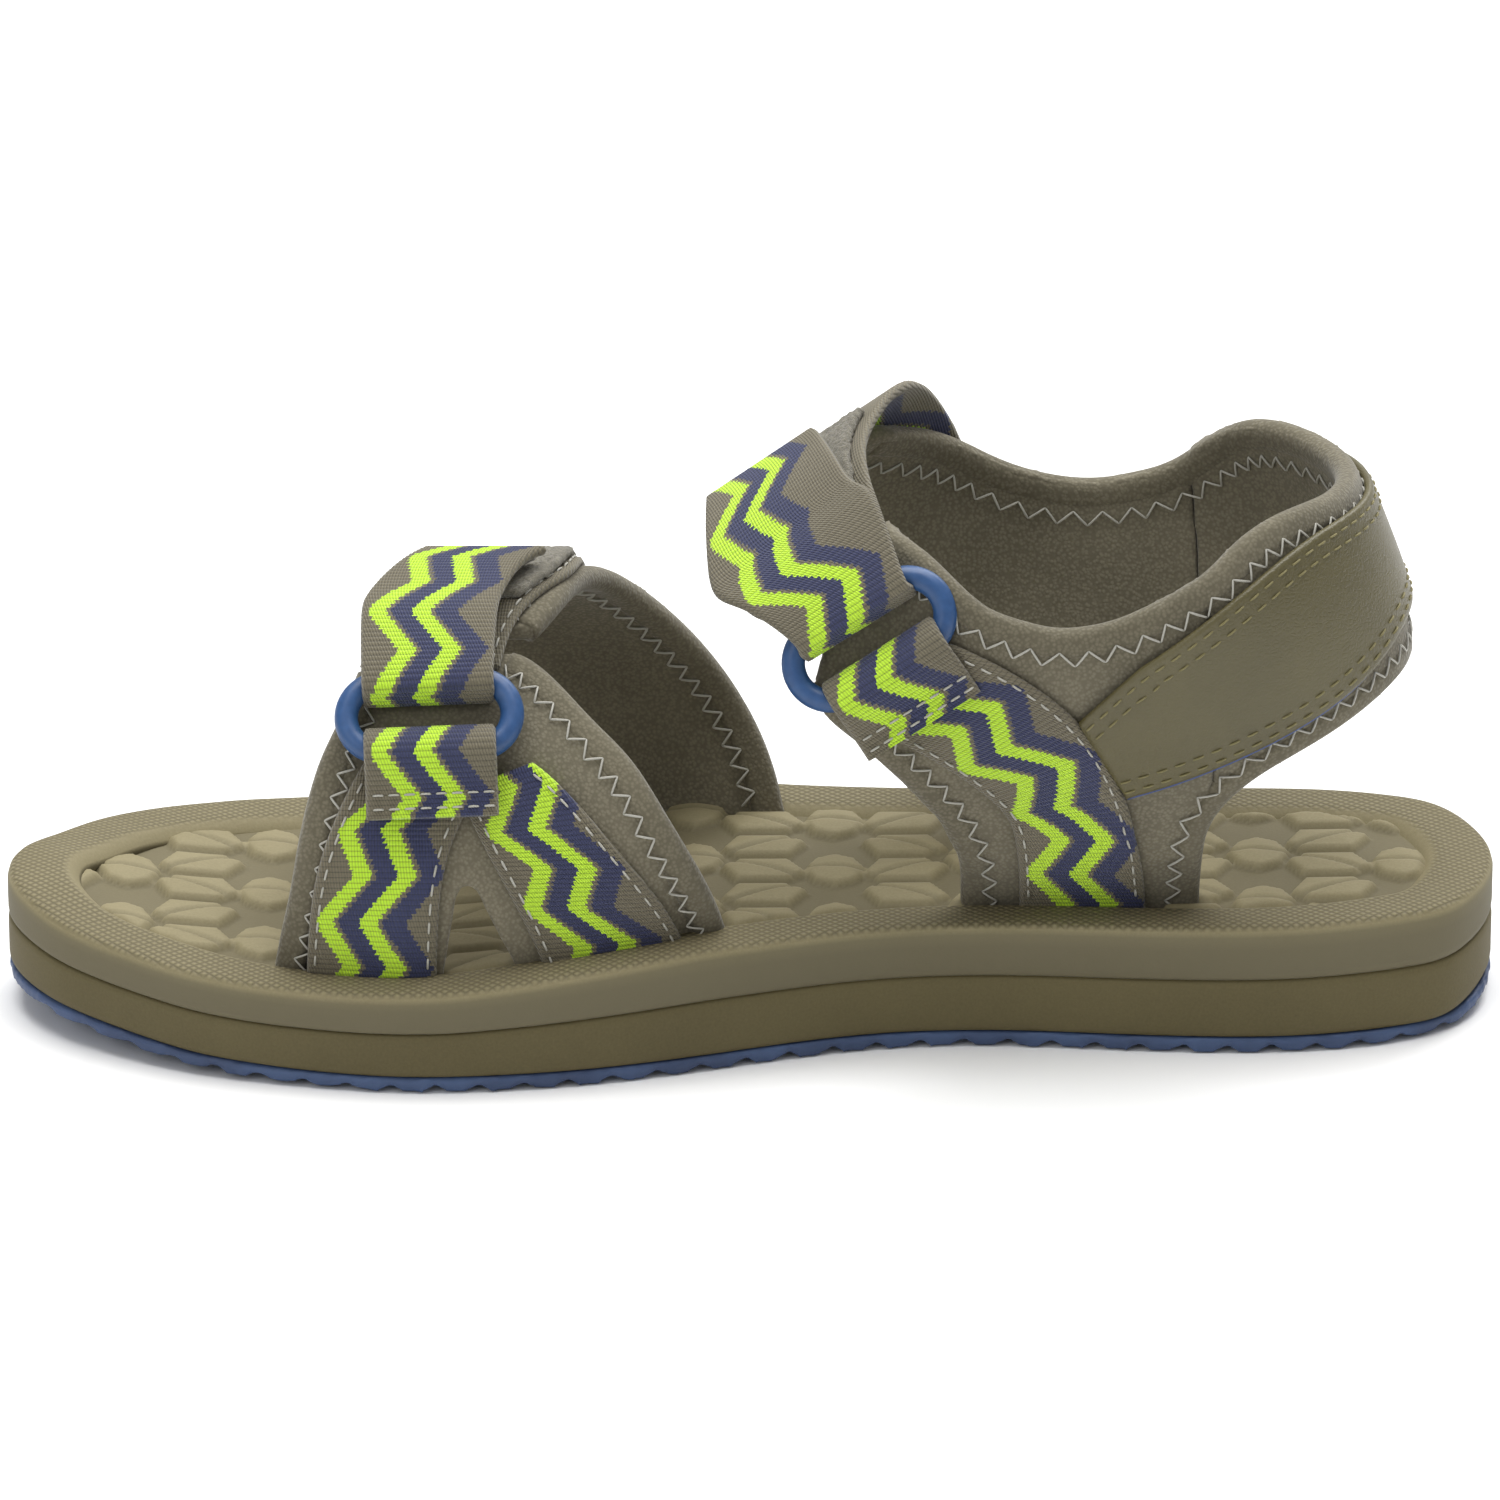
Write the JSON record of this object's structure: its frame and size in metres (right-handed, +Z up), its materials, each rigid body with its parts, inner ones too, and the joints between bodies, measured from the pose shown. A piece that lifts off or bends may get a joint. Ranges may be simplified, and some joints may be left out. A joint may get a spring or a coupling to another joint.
{
  "type": "sport sandal",
  "caption": "Child's right strappy sport sandal: foam sole with domed footbed, rubber outsole, padded forefoot and ankle straps closed by rings and turned-back webbing tabs, padded heel collar.",
  "frame": {"origin": "on the ground under the middle of the sole", "axes": "+X from toe to heel, +Y to the outer side of the foot, +Z up"},
  "size_m": [0.216, 0.0827, 0.0872],
  "materials": {
    "outsole_rubber": "matt moulded rubber, dark blue",
    "midsole_foam": "matt skinned foam, olive",
    "footbed_foam": "matt moulded foam with a fine mesh texture, olive",
    "padded_cloth": "knitted cloth over padding, taupe",
    "webbing": "ribbed webbing with lime and navy zigzag lines",
    "ring_plastic": "satin moulded plastic, blue",
    "loop_tape": "looped pile tape, grey-green",
    "hook_tape": "hook tape, dark grey-green",
    "overlay_leather": "smooth coated synthetic leather, olive",
    "overlay_edge": "thin blue layer under the overlay"
  },
  "bodies": {
    "shoe": {"outsole": "outsole_rubber", "midsole": "midsole_foam", "footbed": "footbed_foam", "forefoot_medial_anchor": "webbing", "forefoot_lateral_anchor": "webbing", "ankle_medial_anchor": "webbing", "ankle_lateral_anchor": "webbing", "forefoot_medial_panel": "padded_cloth", "forefoot_front_webbing": "webbing", "forefoot_rear_webbing": "webbing", "forefoot_lateral_band": "padded_cloth", "forefoot_strap_run": "webbing", "forefoot_loop_patch": "loop_tape", "ankle_medial_panel": "padded_cloth", "ankle_webbing": "webbing", "ankle_lateral_panel": "padded_cloth", "ankle_strap_run": "webbing", "ankle_loop_patch": "loop_tape", "heel_band": "padded_cloth", "heel_overlay": "overlay_leather", "heel_overlay_edge": "overlay_edge"},
    "forefoot_ring_body": {"forefoot_ring": "ring_plastic"},
    "forefoot_tab_body": {"forefoot_strap_tab": "webbing", "forefoot_hook_patch": "hook_tape"},
    "ankle_ring_body": {"ankle_ring": "ring_plastic"},
    "ankle_tab_body": {"ankle_strap_tab": "webbing", "ankle_hook_patch": "hook_tape"}
  },
  "joints": [
    {"name": "forefoot_ring_swing", "type": "hinge", "parent": "shoe", "child": "forefoot_ring_body", "pos_m": [-0.04553, -0.02872, 0.04726], "axis": [0.9992, 0.0251, 0.0321], "range_deg": [0, 8]},
    {"name": "forefoot_tab_peel", "type": "hinge", "parent": "forefoot_ring_body", "child": "forefoot_tab_body", "pos_m": [-0.04597, -0.02198, 0.05543], "axis": [0.9992, 0.0251, 0.0321], "range_deg": [0, 120]},
    {"name": "ankle_ring_swing", "type": "hinge", "parent": "shoe", "child": "ankle_ring_body", "pos_m": [0.01945, -0.02836, 0.05925], "axis": [0.8419, 0.0774, 0.5341], "range_deg": [0, 8]},
    {"name": "ankle_tab_peel", "type": "hinge", "parent": "ankle_ring_body", "child": "ankle_tab_body", "pos_m": [0.01387, -0.02487, 0.06755], "axis": [0.8419, 0.0774, 0.5341], "range_deg": [0, 120]}
  ]
}
